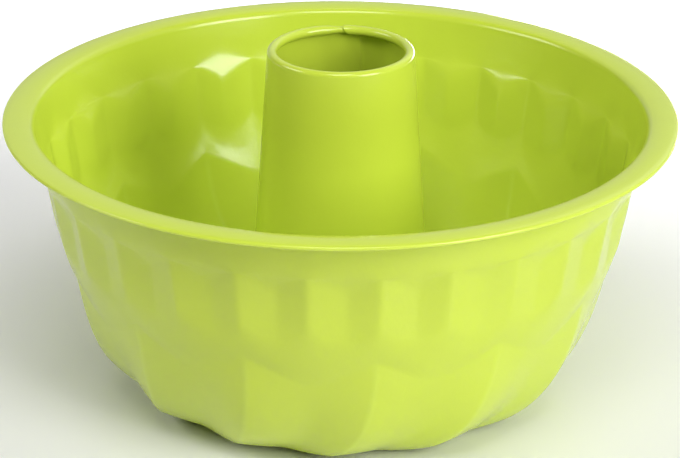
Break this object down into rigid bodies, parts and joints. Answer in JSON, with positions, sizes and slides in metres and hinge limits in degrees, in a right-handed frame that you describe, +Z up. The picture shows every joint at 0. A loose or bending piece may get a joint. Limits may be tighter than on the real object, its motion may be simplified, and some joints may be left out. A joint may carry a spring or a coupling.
{
  "type": "fluted tube pan",
  "caption": "Deep fluted ring-cake pan of coated sheet steel with swirled flutes, a rolled-edge flange and a tapered centre tube.",
  "frame": {"origin": "centre of the pan on the plane it rests on, under its floor", "axes": "+Z up along the tube's axis; -Y faces the camera of the picture and +X is to its right"},
  "size_m": [0.25, 0.25, 0.1307],
  "materials": {
    "green_coating": "glossy lime-green baked coating over sheet steel"
  },
  "bodies": {
    "root": {"fluted_shell": "green_coating", "centre_tube": "green_coating"}
  },
  "joints": []
}
